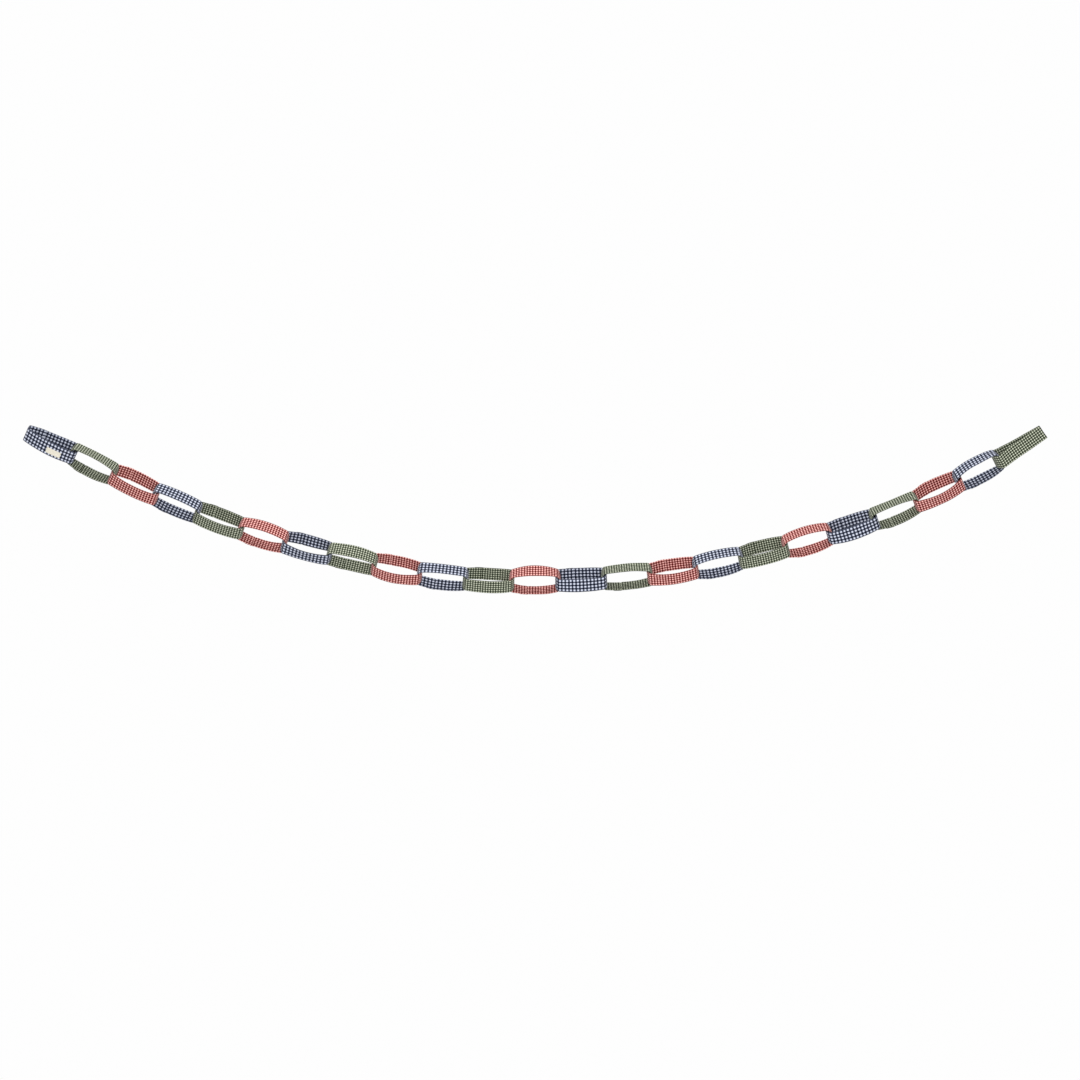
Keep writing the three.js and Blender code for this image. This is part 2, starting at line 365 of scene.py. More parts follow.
@dataclass(frozen=True)
class Finish:
    """The part of a material that every finish here has: a Principled surface with a bump."""

    name: str

    def start(self) -> tuple[bpy.types.Material, Graph, bpy.types.Node]:
        """Makes an empty material.

        Returns:
            The material, its graph and its Principled shader, linked to the output.
        """
        material = bpy.data.materials.new(self.name)
        material.use_nodes = True
        material.node_tree.nodes.clear()
        graph = Graph(material.node_tree)
        shader = graph.node("ShaderNodeBsdfPrincipled", {"Metallic": 0.0})
        graph.node("ShaderNodeOutputMaterial", {"Surface": shader.outputs[0]})
        return material, graph, shader

    @staticmethod
    def placed(graph: Graph, tree: bpy.types.NodeTree, inputs: dict[str, object]) -> bpy.types.Node:
        """Puts one of the shared groups into a material and feeds it."""
        node = graph.node("ShaderNodeGroup", node_tree=tree)
        for key, value in inputs.items():
            graph.feed(node.inputs[key], value)
        return node

    @staticmethod
    def bump(graph: Graph, height: bpy.types.NodeSocket, depth: float, strength: float) -> object:
        """Adds a Bump node for a height from 0 to 1 and returns its normal."""
        inputs = {"Height": height, "Distance": depth, "Strength": strength}
        return graph.node("ShaderNodeBump", inputs).outputs[0]


@dataclass(frozen=True)
class GinghamFinish(Finish):
    """A yarn-dyed gingham: three tones of one check over a plain weave.

    `centre` is the share of a repeat by which the strips are cut off the middle of a light
    stripe, so that a coloured stripe runs along both folded edges.
    """

    repeat: float
    centre: float
    dark: str
    middle: str
    light: str
    thread: str
    pitch: float = 0.29 * MM
    contrast: float = 0.45

    def build(self, effects: Effects) -> bpy.types.Material:
        """Makes the material.

        Args:
            effects: The shared shader groups.

        Returns:
            The cloth's material.
        """
        material, graph, shader = self.start()
        place = graph.node("ShaderNodeUVMap", uv_map=CLOTH_UV).outputs[0]
        fold = graph.node("ShaderNodeAttribute", attribute_name=FOLD).outputs["Fac"]
        weave = self.placed(graph, effects.weave, {"Vector": place, "Pitch": self.pitch}).outputs
        tones = {"Dark": linear(self.dark), "Middle": linear(self.middle), "Light": linear(self.light)}
        sizes = {"Repeat": self.repeat, "Thread Contrast": self.contrast}
        facts = {"Vector": place, "Over": weave["Over"], **sizes, **tones}
        check = self.placed(graph, effects.check, facts).outputs["Color"]
        wear = {"Color": check, "Vector": place, "Fold": fold, "Streaks": 0.3, "Rubbing": 0.06}
        worn = self.placed(graph, effects.wear, {**wear, "Rubbed Color": linear(self.light)}).outputs
        graph.feed(shader.inputs["Base Color"], worn["Color"])
        graph.feed(shader.inputs["Roughness"], worn["Roughness"])
        graph.feed(shader.inputs["Normal"], self.bump(graph, weave["Height"], 0.09 * MM, 0.35))
        shader.inputs["Specular IOR Level"].default_value = 0.18
        shader.inputs["Sheen Weight"].default_value = 0.06
        shader.inputs["Sheen Roughness"].default_value = 0.5
        return material


@dataclass(frozen=True)
class TapeFinish(Finish):
    """A plain cream tape, woven finer one way than the other, for the blank label."""

    cream: str
    pitch: float = 0.42 * MM

    def build(self, effects: Effects) -> bpy.types.Material:
        """Makes the material.

        Args:
            effects: The shared shader groups.

        Returns:
            The label's material.
        """
        material, graph, shader = self.start()
        place = graph.node("ShaderNodeUVMap", uv_map=CLOTH_UV).outputs[0]
        fold = graph.node("ShaderNodeAttribute", attribute_name=FOLD).outputs["Fac"]
        ribbed = graph.vector("MULTIPLY", place, (1.0, 1.7, 1.0))
        weave = self.placed(graph, effects.weave, {"Vector": ribbed, "Pitch": self.pitch}).outputs
        wear = {"Vector": place, "Fold": fold, "Streaks": 0.16, "Rubbing": 0.3}
        tones = {"Color": linear(self.cream), "Rubbed Color": linear("b8af98")}
        worn = self.placed(graph, effects.wear, {**wear, **tones}).outputs
        graph.feed(shader.inputs["Base Color"], worn["Color"])
        graph.feed(shader.inputs["Roughness"], worn["Roughness"])
        graph.feed(shader.inputs["Normal"], self.bump(graph, weave["Height"], 0.12 * MM, 0.4))
        shader.inputs["Specular IOR Level"].default_value = 0.3
        shader.inputs["Sheen Weight"].default_value = 0.1
        return material


@dataclass(frozen=True)
class ThreadFinish(Finish):
    """A spun sewing thread of one colour."""

    colour: str

    def build(self, effects: Effects) -> bpy.types.Material:
        """Makes the material.

        Args:
            effects: The shared shader groups.

        Returns:
            The thread's material.
        """
        material, graph, shader = self.start()
        place = graph.node("ShaderNodeTexCoord").outputs["Object"]
        facts = {"Color": linear(self.colour), "Vector": place}
        thread = self.placed(graph, effects.thread, facts).outputs
        graph.feed(shader.inputs["Base Color"], thread["Color"])
        graph.feed(shader.inputs["Roughness"], thread["Roughness"])
        graph.feed(shader.inputs["Normal"], self.bump(graph, thread["Height"], 0.05 * MM, 0.5))
        shader.inputs["Specular IOR Level"].default_value = 0.35
        return material


class Cloth(Enum):
    """The three ginghams, in their order along the chain."""

    NAVY = GinghamFinish("navy_gingham_cloth", 6.35 * MM, 0.5, "060a1a", "2c3650", "ced3e2", "525c78")
    GREEN = GinghamFinish("green_gingham_cloth", 4.5 * MM, 0.5, "161c10", "3c4630", "c6cab6", "6e765e")
    RED = GinghamFinish("red_gingham_cloth", 4.9 * MM, 0.0, "330504", "982a25", "f8c4bd", "a8564c")

    @property
    def word(self) -> str:
        """The cloth's name as the frame's nodes and slots spell it."""
        return self.name.lower()

    @property
    def slot(self) -> str:
        """The record's material slot for this cloth."""
        return f"{self.word}_gingham"


LABEL_SLOT = "label"
LABEL_TAPE = TapeFinish("cream_label_tape", "dcd6c6")
LABEL_THREAD = ThreadFinish("cream_label_thread", "c2b89e")


# ---------------------------------------------------------------- how the chain lies


@dataclass(frozen=True)
class LoopLay:
    """How one loop lies on the chain, and how its inside differs from the common one.

    The turn about the chain and the flare of its upper edge are in degrees. The other sizes are
    in metres: half the short inside diameter, how far the loop dips below the chain's curve,
    and how far the near corner of each end reaches past the far one, or less if negative.
    """

    turn: float
    flare: float
    half: float
    dip: float
    left_lean: float
    right_lean: float


END_HALF = 19.5
LAY_TABLE = (
    (27, -4, END_HALF, 4, 0, 6),
    (-57, -5, 18.6, 3, 0, 0),
    (39, 3, 19.4, 1, 0, 5),
    (-48, -1, 18.4, 1, 0, 0),
    (40, 5, 18.7, 2, 0, 3),
    (-50, 3, 20, 0, 0, 0),
    (46, 7, 18.6, 0, 0, 0),
    (-38, 2, 19.5, -2, 0, 0),
    (47, 2, 20.4, 3, 0, 0),
    (-48, -3, 18.5, 4, 0, 0),
    (35, 0, 19.5, 3, 0, 0),
    (-52, 6, 21.4, 0, 0, 0),
    (28, -2, 20, 0, 0, 1),
    (-58, 0, 18.2, 0, 0, 0),
    (39, 4, 19.6, 1, 1, 0),
    (-51, -2, 20.1, 0, 0, 0),
    (32, 3, 20.5, -1, 0, 1),
    (-53, -3, 21.4, -1, 0, 0),
    (29, -6, 21.4, 1, 2, 4),
    (-56, -7, 18.1, 3, 0, 0),
    (41, 6, 19.9, 1, 1, 5),
    (-54, -3, 19.9, -2, 0, 0),
    (12, 0, END_HALF, -2, -6, 0),
)
LAYS = tuple(
    LoopLay(turn, flare, half * MM, dip * MM, left * MM, right * MM)
    for turn, flare, half, dip, left, right in LAY_TABLE
)
LAST = len(LAYS) - 1


@dataclass(frozen=True)
class Corner:
    """A corner bend of a loop's inside, and the radius of the side that leads on from it."""

    x: float
    y: float
    radius: float
    side: float


@dataclass(frozen=True)
class Arc:
    """A round stretch of a loop's inside face, turning anticlockwise."""

    x: float
    y: float
    radius: float
    start: float
    turn: float

    def length(self, offset: float) -> float:
        """The stretch's length at an offset outside the inside face."""
        return (self.radius + offset) * self.turn

    def part(self, first: float, last: float) -> "Arc":
        """The piece of this stretch between two shares of its length."""
        start = self.start + self.turn * first
        return Arc(self.x, self.y, self.radius, start, self.turn * (last - first))

    def sample(self, shares: Array) -> tuple[Array, Array]:
        """Points and outward normals at shares of the stretch's length."""
        angles = self.start + self.turn * shares
        normals = np.stack([np.cos(angles), np.sin(angles)], axis=1)
        return np.array([self.x, self.y]) + self.radius * normals, normals


@dataclass(frozen=True)
class Flat:
    """A straight stretch of a loop's inside face, from one point to another."""

    start: tuple[float, float]
    end: tuple[float, float]

    def length(self, offset: float) -> float:
        """The stretch's length, which is the same at every offset."""
        return math.dist(self.start, self.end)

    def sample(self, shares: Array) -> tuple[Array, Array]:
        """Points and outward normals at shares of the stretch's length."""
        first, last = np.array(self.start), np.array(self.end)
        along = (last - first) / self.length(0.0)
        normals = np.tile([along[1], -along[0]], (len(shares), 1))
        return first + shares[:, None] * (last - first), normals


@dataclass(frozen=True)
class LoopShape:
    """The inside outline of a loop, drawn flat: four corner bends joined by shallow arcs."""

    corner_along: float = 37.6 * MM
    corner_across: float = 12 * MM
    corner_radius: float = 3.5 * MM
    end_radius: float = 28 * MM
    nose_along: float = 43.5 * MM
    nose_across: float = 4 * MM
    fold_along: float = 49 * MM
    fold_across: float = 1 * MM
    fold_radius: float = 0.8 * MM
    fold_swing: float = 17 * MM
    fold_side_radius: float = 420 * MM

    def reach(self, across: float) -> float:
        """Half the inside length of a common loop at a distance from its middle line."""
        inner = self.end_radius - self.corner_radius
        centre = self.corner_along - math.sqrt(inner**2 - self.corner_across**2)
        return centre + math.sqrt(self.end_radius**2 - across**2)

    def side_radius(self, half: float) -> float:
        """The radius of a side arc that bulges to `half` between two equal corner bends."""
        rise = half - self.corner_across
        spread = self.corner_along**2 + rise**2 - self.corner_radius**2
        return spread / (2 * (rise - self.corner_radius))

    def corners(self, index: int) -> list[Corner]:
        """The corners of one loop, anticlockwise from the right end's near corner.

        Args:
            index: The loop's number along the chain, from 0.

        Returns:
            The four corners.
        """
        lay = LAYS[index]
        along, across, bend = self.corner_along, self.corner_across, self.corner_radius
        left, right = lay.left_lean, lay.right_lean
        side = self.side_radius(lay.half)
        corners = [
            Corner(along + max(0.0, right), -across, bend, self.end_radius),
            Corner(along + max(0.0, -right), across, bend, side),
            Corner(-along - max(0.0, -left), across, bend, self.end_radius),
            Corner(-along - max(0.0, left), -across, bend, side),
        ]
        if index == 0:
            corners[2] = Corner(-self.nose_along, self.nose_across, bend, math.inf)
            corners[3] = Corner(-self.nose_along, -self.nose_across, bend, side)
        if index == LAST:
            low = -self.fold_swing - self.fold_across
            high = -self.fold_swing + self.fold_across
            wide = self.fold_side_radius
            corners[0] = Corner(self.fold_along, low, self.fold_radius, math.inf)
            corners[1] = Corner(self.fold_along, high, self.fold_radius, wide)
            corners[3] = Corner(corners[3].x, corners[3].y, bend, wide)
        return corners

    def stretches(self, index: int) -> list[Arc | Flat]:
        """The whole outline of one loop: each corner's bend, then the side that follows it.

        Args:
            index: The loop's number along the chain, from 0.

        Returns:
            Eight stretches, anticlockwise from the right end's near corner.
        """
        corners = self.corners(index)
        turned = corners[1:] + corners[:1]
        spans = [self.side_span(here, there) for here, there in zip(corners, turned)]
        outline: list[Arc | Flat] = []
        for number, corner in enumerate(corners):
            arrives = spans[number - 1][1]
            leaves = spans[number][0]
            turn = (leaves - arrives) % (2 * math.pi)
            outline.append(Arc(corner.x, corner.y, corner.radius, arrives, turn))
            outline.append(spans[number][2])
        return outline

    @staticmethod
    def side_span(here: Corner, there: Corner) -> tuple[float, float, Arc | Flat]:
        """The side that is tangent to two corner bends.

        Args:
            here: The corner that the side leaves.
            there: The corner that it arrives at.

        Returns:
            The angle of its normal at the start and at the end, and the side itself.
        """
        dx, dy = there.x - here.x, there.y - here.y
        if math.isinf(here.side):
            angle = math.atan2(-dx, dy)
            away = np.array([math.cos(angle), math.sin(angle)])
            first = np.array([here.x, here.y]) + here.radius * away
            last = np.array([there.x, there.y]) + there.radius * away
            return angle, angle, Flat(tuple(first), tuple(last))
        length = math.hypot(dx, dy)
        a, b = here.side - here.radius, here.side - there.radius
        foot = (length**2 + a**2 - b**2) / (2 * length)
        depth = math.sqrt(a**2 - foot**2)
        x = here.x + (dx * foot - dy * depth) / length
        y = here.y + (dy * foot + dx * depth) / length
        start = math.atan2(here.y - y, here.x - x)
        end = math.atan2(there.y - y, there.x - x)
        return start, end, Arc(x, y, here.side, start, (end - start) % (2 * math.pi))


@dataclass(frozen=True)
class ChainCurve:
    """The curve the chain hangs in, and the frame of each loop along it."""

    shape: LoopShape = LoopShape()
    strip_width: float = 26 * MM
    radius: float = 1556 * MM
    lowest_link: float = 12.2
    clearance: float = 0.4 * MM
    left_bend: float = -6.0
    right_bend: float = 4.5
    bend_reach: float = 15 * MM

    @property
    def pitch(self) -> float:
        """The distance from one loop's middle to the next one's, along the chain."""
        return 2 * self.shape.reach(self.strip_width / 2) - self.clearance

    def place(self, index: float) -> float:
        """The length along the chain from its lowest point to a loop's middle."""
        return (index + 1 - self.lowest_link) * self.pitch

    def hang(self, length: Array) -> tuple[Array, Array]:
        """Points of the plain curve, as X and Z, and its slope there."""
        reach = np.hypot(self.radius, length)
        x = self.radius * np.arcsinh(length / self.radius)
        return np.stack([x, reach - self.radius], axis=-1), np.arctan2(length, self.radius)

    def dip(self, length: Array) -> Array:
        """How far the chain dips below the plain curve, eased from loop to loop."""
        places = np.clip(length / self.pitch + self.lowest_link - 1, 0, LAST)
        before = np.minimum(places.astype(int), LAST - 1)
        dips = np.array([lay.dip for lay in LAYS])
        ease = smoothstep(0, 1, places - before)
        return dips[before] + (dips[before + 1] - dips[before]) * ease

    def frame(self, length: Array) -> tuple[Array, Array, Array]:
        """The chain's own frame.

        Args:
            length: Lengths along the chain from its lowest point.

        Returns:
            The point, the direction along and the direction up, for each length.
        """
        flat, angle = self.hang(length)
        bends = ((0.5, -1, self.left_bend), (LAST - 0.5, 1, self.right_bend))
        for joint, side, degrees in bends:
            middle = self.place(joint)
            share = smoothstep(-self.bend_reach, self.bend_reach, side * (length - middle))
            turn = side * math.radians(degrees) * share
            pivot = self.hang(np.array(middle))[0]
            x, z = (flat - pivot).T
            turned = [x * np.cos(turn) - z * np.sin(turn), x * np.sin(turn) + z * np.cos(turn)]
            flat = pivot + np.stack(turned, axis=1)
            angle = angle + turn
        level = np.zeros_like(angle)
        along = np.stack([np.cos(angle), level, np.sin(angle)], axis=1)
        up = np.stack([-np.sin(angle), level, np.cos(angle)], axis=1)
        point = np.stack([flat[:, 0], level, flat[:, 1]], axis=1)
        return point - self.dip(length)[:, None] * up, along, up

    def joint_turn(self, index: int, neighbour: int) -> float:
        """The turn of a loop where it meets a neighbour, which it crosses at a right angle."""
        turn = LAYS[index].turn
        if neighbour < 0 or neighbour > LAST:
            return turn
        return (turn + LAYS[neighbour].turn + math.copysign(90, turn)) / 2

    @property
    def origin(self) -> Array:
        """The point of the chain that the whole garland is placed by."""
        nose = self.place(0) - self.shape.nose_along - self.shape.corner_radius
        return self.frame(np.array([nose]))[0][0]

    def lay(self, index: int, points: Array, normals: Array) -> tuple[Array, Array, Array]:
        """Lays a flat-drawn line of one loop along the hanging chain.

        Args:
            index: The loop's number along the chain, from 0.
            points: Points of the line, as X and Y in the flat drawing.
            normals: Outward normals there.

        Returns:
            Each point's place, the step across the strip there and the outward normal.
        """
        lay = LAYS[index]
        x, y = points.T
        towards = np.minimum(1, np.abs(x) / self.shape.corner_along) ** 2
        left, right = self.joint_turn(index, index - 1), self.joint_turn(index, index + 1)
        turn = np.radians(lay.turn + (np.where(x < 0, left, right) - lay.turn) * towards)
        centre, along, up = self.frame(self.place(index) + x)
        sideways = np.array([0.0, 1.0, 0.0])
        through = np.cos(turn)[:, None] * sideways + np.sin(turn)[:, None] * up
        upright = np.cross(along, through)
        opening = math.tan(math.radians(lay.flare)) * (1 - towards) / lay.half
        place = centre + y[:, None] * through - self.origin
        across = upright + (y * opening)[:, None] * through
        outward = normals[:, :1] * along + normals[:, 1:] * through
        return place, across, outward


# ---------------------------------------------------------------- swept pieces


@dataclass
class SweepPath:
    """The line that a strip is swept along, one row of the mesh for each point.

    `lift` moves a row outwards, `plump` is its share of the full thickness, and `free` is how
    far it may ripple, from 0 at a joint to 1 in the open.
    """

    place: Array
    across: Array
    outward: Array
    run: Array
    lift: Array
    plump: Array
    free: Array

    def at(self, run: float, across: float, height: float) -> tuple[Array, Array]:
        """A point on the strip and the outward normal there.

        Args:
            run: The length along the strip.
            across: The distance across it from its middle line.
            height: The distance outwards from its inside face.

        Returns:
            The point and the normal.
        """
        def value(column: Array) -> Array:
            """The column's value at this run, between its two nearest rows."""
            parts = np.atleast_2d(column.T)
            return np.array([np.interp(run, self.run, part) for part in parts])

        outward = value(self.outward)
        lifted = height + value(self.lift)[0]
        return value(self.place) + across * value(self.across) + lifted * outward, outward

    def object(self) -> bpy.types.Object:
        """Makes the line an object whose points carry what the sweep reads."""
        names = ("across", "outward", "run", "lift", "plump", "free")
        edges = [(i, i + 1) for i in range(len(self.place) - 1)]
        columns = {name: getattr(self, name) for name in names}
        return line_object("sweep_path", self.place.tolist(), edges, columns)


@dataclass(frozen=True)
class Section:
    """The cut across a flat sewn strip: folded edges, a hollow middle and sewn channels.

    The seam where the strip was closed runs along its lower edge, as a fine groove.
    """

    width: float
    thickness: float
    columns: tuple[float, ...]
    hollow: float = 0.0
    hem: float = 0.0
    sewn: float = 0.0
    inset: float = 0.0
    groove: float = 0.0
    edge_steps: int = 5

    def half_thickness(self, across: Array) -> Array:
        """Half the strip's thickness at distances across it from its middle line."""
        distance = np.abs(across)
        edge = self.width / 2
        share = np.ones_like(distance)
        if self.hem:
            inner = smoothstep(edge - self.hem - 0.5 * MM, edge - self.hem + 0.5 * MM, distance)
            share -= self.hollow * (1 - inner)
        if self.sewn:
            share -= self.sewn * np.exp(-(((distance - edge + self.inset) / (0.55 * MM)) ** 2))
        return self.thickness / 2 * share

    def points(self) -> tuple[Array, Array, Array]:
        """The closed outline of the cut, from the seam round the outer face and back.

        Returns:
            The points as distance across and height, the length round the outline measured
            from the middle of the outer face, and the mask of the folded edges.
        """
        radius = self.thickness / 2
        face = np.array(self.columns)
        half = self.half_thickness(face)
        angles = np.linspace(math.pi / 2, -math.pi / 2, self.edge_steps + 2)[1:-1]
        bend = np.stack([np.cos(angles), np.sin(angles)], axis=1) * radius
        edge = self.width / 2 - radius
        upper = np.stack([edge + bend[:, 0], radius + bend[:, 1]], axis=1)
        lower = np.stack([-edge - bend[::-1, 0], radius + bend[::-1, 1]], axis=1)
        middle = self.edge_steps // 2
        lower[middle, 0] += self.groove
        outer = np.stack([face, radius + half], axis=1)
        inner = np.stack([face, radius - half], axis=1)[::-1]
        outline = np.concatenate([lower[middle:], outer, upper, inner, lower[:middle + 1]])
        steps = np.linalg.norm(np.diff(outline, axis=0), axis=1)
        round_it = np.concatenate([[0.0], np.cumsum(steps)])
        centre = len(lower[middle:]) + len(face) // 2
        fold = smoothstep(edge - 0.7 * MM, edge + 0.3 * MM, np.abs(outline[:, 0]))
        return outline, round_it - round_it[centre], fold

    def object(self) -> bpy.types.Object:
        """Makes the outline an object whose points carry what the sweep reads."""
        outline, reach, fold = self.points()
        flat = [(across, height - self.thickness / 2, 0.0) for across, height in outline]
        edges = [(i, i + 1) for i in range(len(flat) - 1)]
        return line_object("sweep_section", flat, edges, {"reach": reach, FOLD: fold})


def modifier_inputs(modifier: bpy.types.Modifier, values: dict[str, object]) -> None:
    """Sets the inputs of a Geometry Nodes modifier.

    Args:
        modifier: The modifier.
        values: The value of each input, by the socket's name.
    """
    for item in modifier.node_group.interface.items_tree:
        if item.in_out == "INPUT" and item.name in values:
            modifier[item.identifier] = values[item.name]


def made_plain(holder: bpy.types.Object, tree: bpy.types.NodeTree, name: str, values: dict) -> object:
    """Runs a Geometry Nodes tree on an object and keeps the result as a plain mesh.

    Args:
        holder: The object that gives the tree its geometry. It is removed.
        tree: The tree to run.
        name: The new object's name.
        values: The value of each of the tree's inputs, by name.

    Returns:
        A new object with the plain mesh and no modifier.
    """
    modifier = holder.modifiers.new("shape", "NODES")
    modifier.node_group = tree
    modifier_inputs(modifier, values)
    depsgraph = bpy.context.evaluated_depsgraph_get()
    mesh = bpy.data.meshes.new_from_object(holder.evaluated_get(depsgraph))
    mesh.name = name
    piece = added(name, mesh)
    bpy.data.objects.remove(holder)
    return piece


def sweep_tree() -> bpy.types.NodeTree:
    """Builds the tree that sweeps a section along a path and closes both ends.

    Returns:
        A tree that takes the path's line, the section's object, the ripple's height and seed,
        the cloth's two phases and the material.
    """
    takes = {
        "Geometry": SocketKind.GEOMETRY,
        "Section": SocketKind.OBJECT,
        "Half Thickness": SocketKind.FLOAT,
        "Ripple": SocketKind.FLOAT,
        "Ripple Scale": SocketKind.FLOAT,
        "Edge Wander": SocketKind.FLOAT,
        "Seed": SocketKind.FLOAT,
        "Phase Along": SocketKind.FLOAT,
        "Phase Across": SocketKind.FLOAT,
        "Material": SocketKind.MATERIAL,
    }
    group = Group("sweep strip", "GeometryNodeTree", takes, {"Geometry": SocketKind.GEOMETRY})
    path = group.takes["Geometry"]
    section = group.node("GeometryNodeObjectInfo", {"Object": group.takes["Section"]})
    cut = section.outputs["Geometry"]
    count = {"component": "MESH"}
    rows = group.node("GeometryNodeAttributeDomainSize", {0: path}, **count).outputs[0]
    columns = group.node("GeometryNodeAttributeDomainSize", {0: cut}, **count).outputs[0]
    grid = group.node("GeometryNodeMeshGrid", {"Vertices X": rows, "Vertices Y": columns})
    index = group.node("GeometryNodeInputIndex").outputs[0]

    def whole(operation: str) -> bpy.types.NodeSocket:
        """The index's row or column, by dividing it by the number of columns."""
        inputs = {0: index, 1: columns}
        return group.node("FunctionNodeIntegerMath", inputs, operation=operation).outputs[0]

    row, column = whole("DIVIDE_FLOOR"), whole("MODULO")

    def read(source: object, name: str, kind: str, number: object) -> bpy.types.NodeSocket:
        """A point's attribute in the path or the section, by the point's number."""
        field = group.node("GeometryNodeInputNamedAttribute", {"Name": name}, data_type=kind)
        inputs = {"Geometry": source, "Index": number}
        sample = group.node("GeometryNodeSampleIndex", inputs, data_type=kind, domain="POINT")
        group.feed(sample.inputs["Value"], field.outputs["Attribute"])
        return sample.outputs["Value"]

    def along(name: str, kind: str = "FLOAT") -> bpy.types.NodeSocket:
        """What the path's row says."""
        return read(path, name, kind, row)

    flat = read(cut, "position", "FLOAT_VECTOR", column)
    parts = group.node("ShaderNodeSeparateXYZ", {0: flat}).outputs
    run = along("run")
    seed = group.takes["Seed"]
    place = {"W": group.math("ADD", seed, group.math("MULTIPLY", run, 60.0)), "Scale": 1.0}
    edge = group.node("ShaderNodeTexNoise", {**place, "Detail": 1.0}, noise_dimensions="1D")
    wander = group.math("MULTIPLY", group.math("SUBTRACT", edge.outputs[0], 0.5), group.takes["Edge Wander"])
    wide = group.math("MULTIPLY", parts[0], group.math("ADD", 1.0, wander))
    middle = along("position", "FLOAT_VECTOR")
    spine = group.vector("ADD", middle, group.scaled(along("across", "FLOAT_VECTOR"), wide))
    noise = {"Vector": spine, "W": seed, "Scale": group.takes["Ripple Scale"], "Detail": 1.0}
    wave = group.node("ShaderNodeTexNoise", noise, noise_dimensions="4D").outputs[0]
    swell = group.math("MULTIPLY", group.math("SUBTRACT", wave, 0.5), group.takes["Ripple"])
    ripple = group.math("MULTIPLY", swell, along("free"))
    plump = group.math("MULTIPLY", parts[1], along("plump"))
    base = group.math("ADD", group.takes["Half Thickness"], along("lift"))
    height = group.math("ADD", group.math("ADD", plump, base), ripple)
    lifted = group.scaled(along("outward", "FLOAT_VECTOR"), height)
    placed = {"Geometry": grid.outputs["Mesh"], "Position": group.vector("ADD", spine, lifted)}
    shape = group.node("GeometryNodeSetPosition", placed).outputs[0]

    u = group.math("ADD", run, group.takes["Phase Along"])
    v = group.math("ADD", read(cut, "reach", "FLOAT", column), group.takes["Phase Across"])
    pair = group.node("ShaderNodeCombineXYZ", {0: u, 1: v}).outputs[0]
    kind = {"data_type": "FLOAT_VECTOR", "domain": "POINT"}
    corner = group.node("GeometryNodeFieldOnDomain", {0: pair}, **kind).outputs[0]
    stored = {"Geometry": shape, "Name": CLOTH_UV, "Value": corner}
    kind = {"data_type": "FLOAT2", "domain": "CORNER"}
    shape = group.node("GeometryNodeStoreNamedAttribute", stored, **kind).outputs[0]
    stored = {"Geometry": shape, "Name": FOLD, "Value": read(cut, FOLD, "FLOAT", column)}
    kind = {"data_type": "FLOAT", "domain": "POINT"}
    shape = group.node("GeometryNodeStoreNamedAttribute", stored, **kind).outputs[0]
    joined = {"Geometry": shape, "Distance": 0.004 * MM}
    shape = group.node("GeometryNodeMergeByDistance", joined).outputs[0]
    shape = group.node("GeometryNodeSetShadeSmooth", {0: shape, "Shade Smooth": True}).outputs[0]
    shape = group.node("GeometryNodeRealizeInstances", {0: shape}).outputs[0]
    dressed = {"Geometry": shape, "Material": group.takes["Material"]}
    group.feed(group.gives["Geometry"], group.node("GeometryNodeSetMaterial", dressed).outputs[0])
    return group.tree


